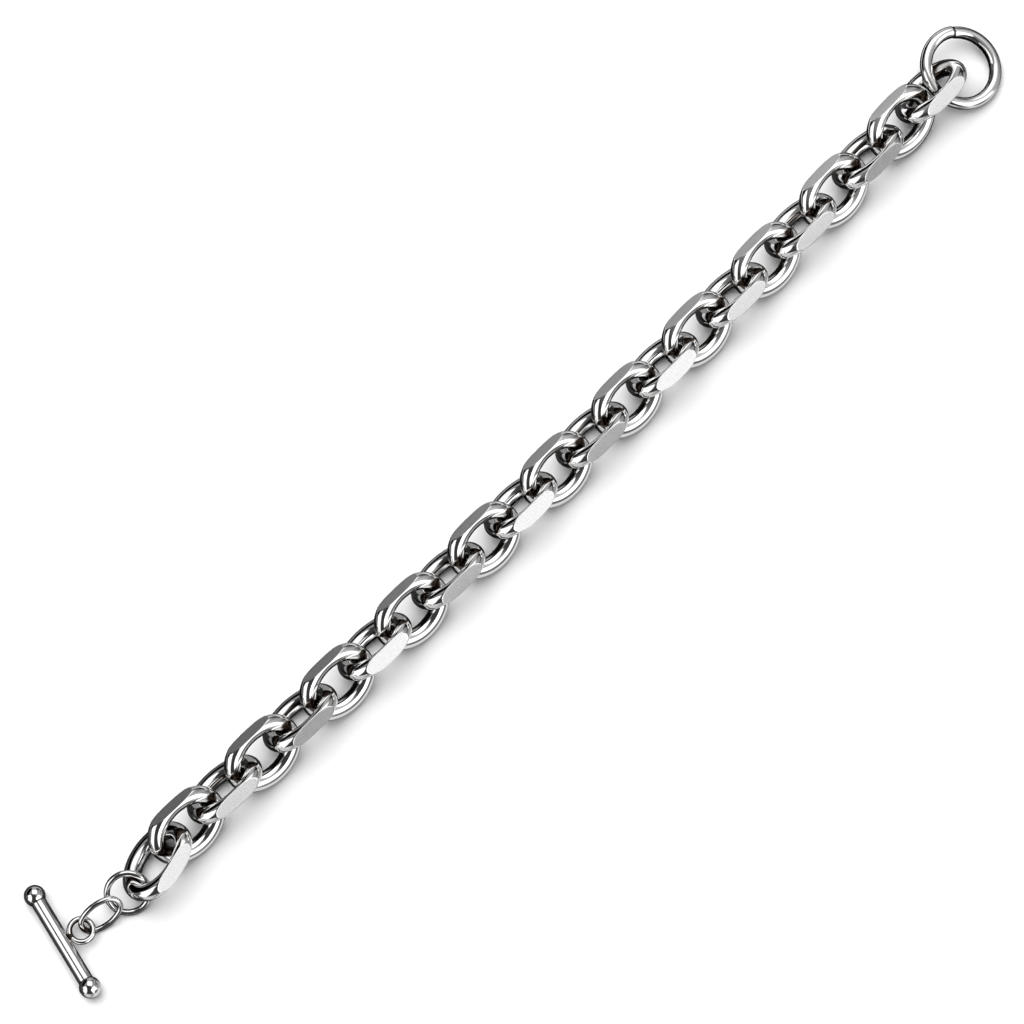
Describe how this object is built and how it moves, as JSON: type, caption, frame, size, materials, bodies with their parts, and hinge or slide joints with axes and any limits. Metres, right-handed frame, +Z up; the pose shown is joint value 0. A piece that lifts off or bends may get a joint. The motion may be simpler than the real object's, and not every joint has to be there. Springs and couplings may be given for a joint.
{
  "type": "link bracelet",
  "caption": "Silver bracelet of thick oval wire links, each with one flat cut on its outer limb, with a round end ring and a ball-ended toggle bar.",
  "frame": {"origin": "middle of the laid-out bracelet's box, on the surface it lies on", "axes": "+X along the chain from the toggle bar towards the end ring, +Z up from the surface, +Y across the chain"},
  "size_m": [0.2132, 0.0198, 0.0084],
  "materials": {
    "silver": "mirror-polished silver; the flat cut on each main link is finely grained"
  },
  "bodies": {
    "root": {"link_01": "silver", "link_02": "silver", "link_03": "silver", "link_04": "silver", "link_05": "silver", "link_06": "silver", "link_07": "silver", "link_08": "silver", "link_09": "silver", "link_10": "silver", "link_11": "silver", "link_12": "silver", "link_13": "silver", "link_14": "silver", "link_15": "silver", "link_16": "silver", "link_17": "silver", "link_18": "silver", "link_19": "silver", "link_20": "silver", "link_21": "silver", "link_22": "silver", "link_23": "silver", "end_ring": "silver", "jump_ring": "silver", "oval_link": "silver", "toggle_bar": "silver"}
  },
  "joints": []
}
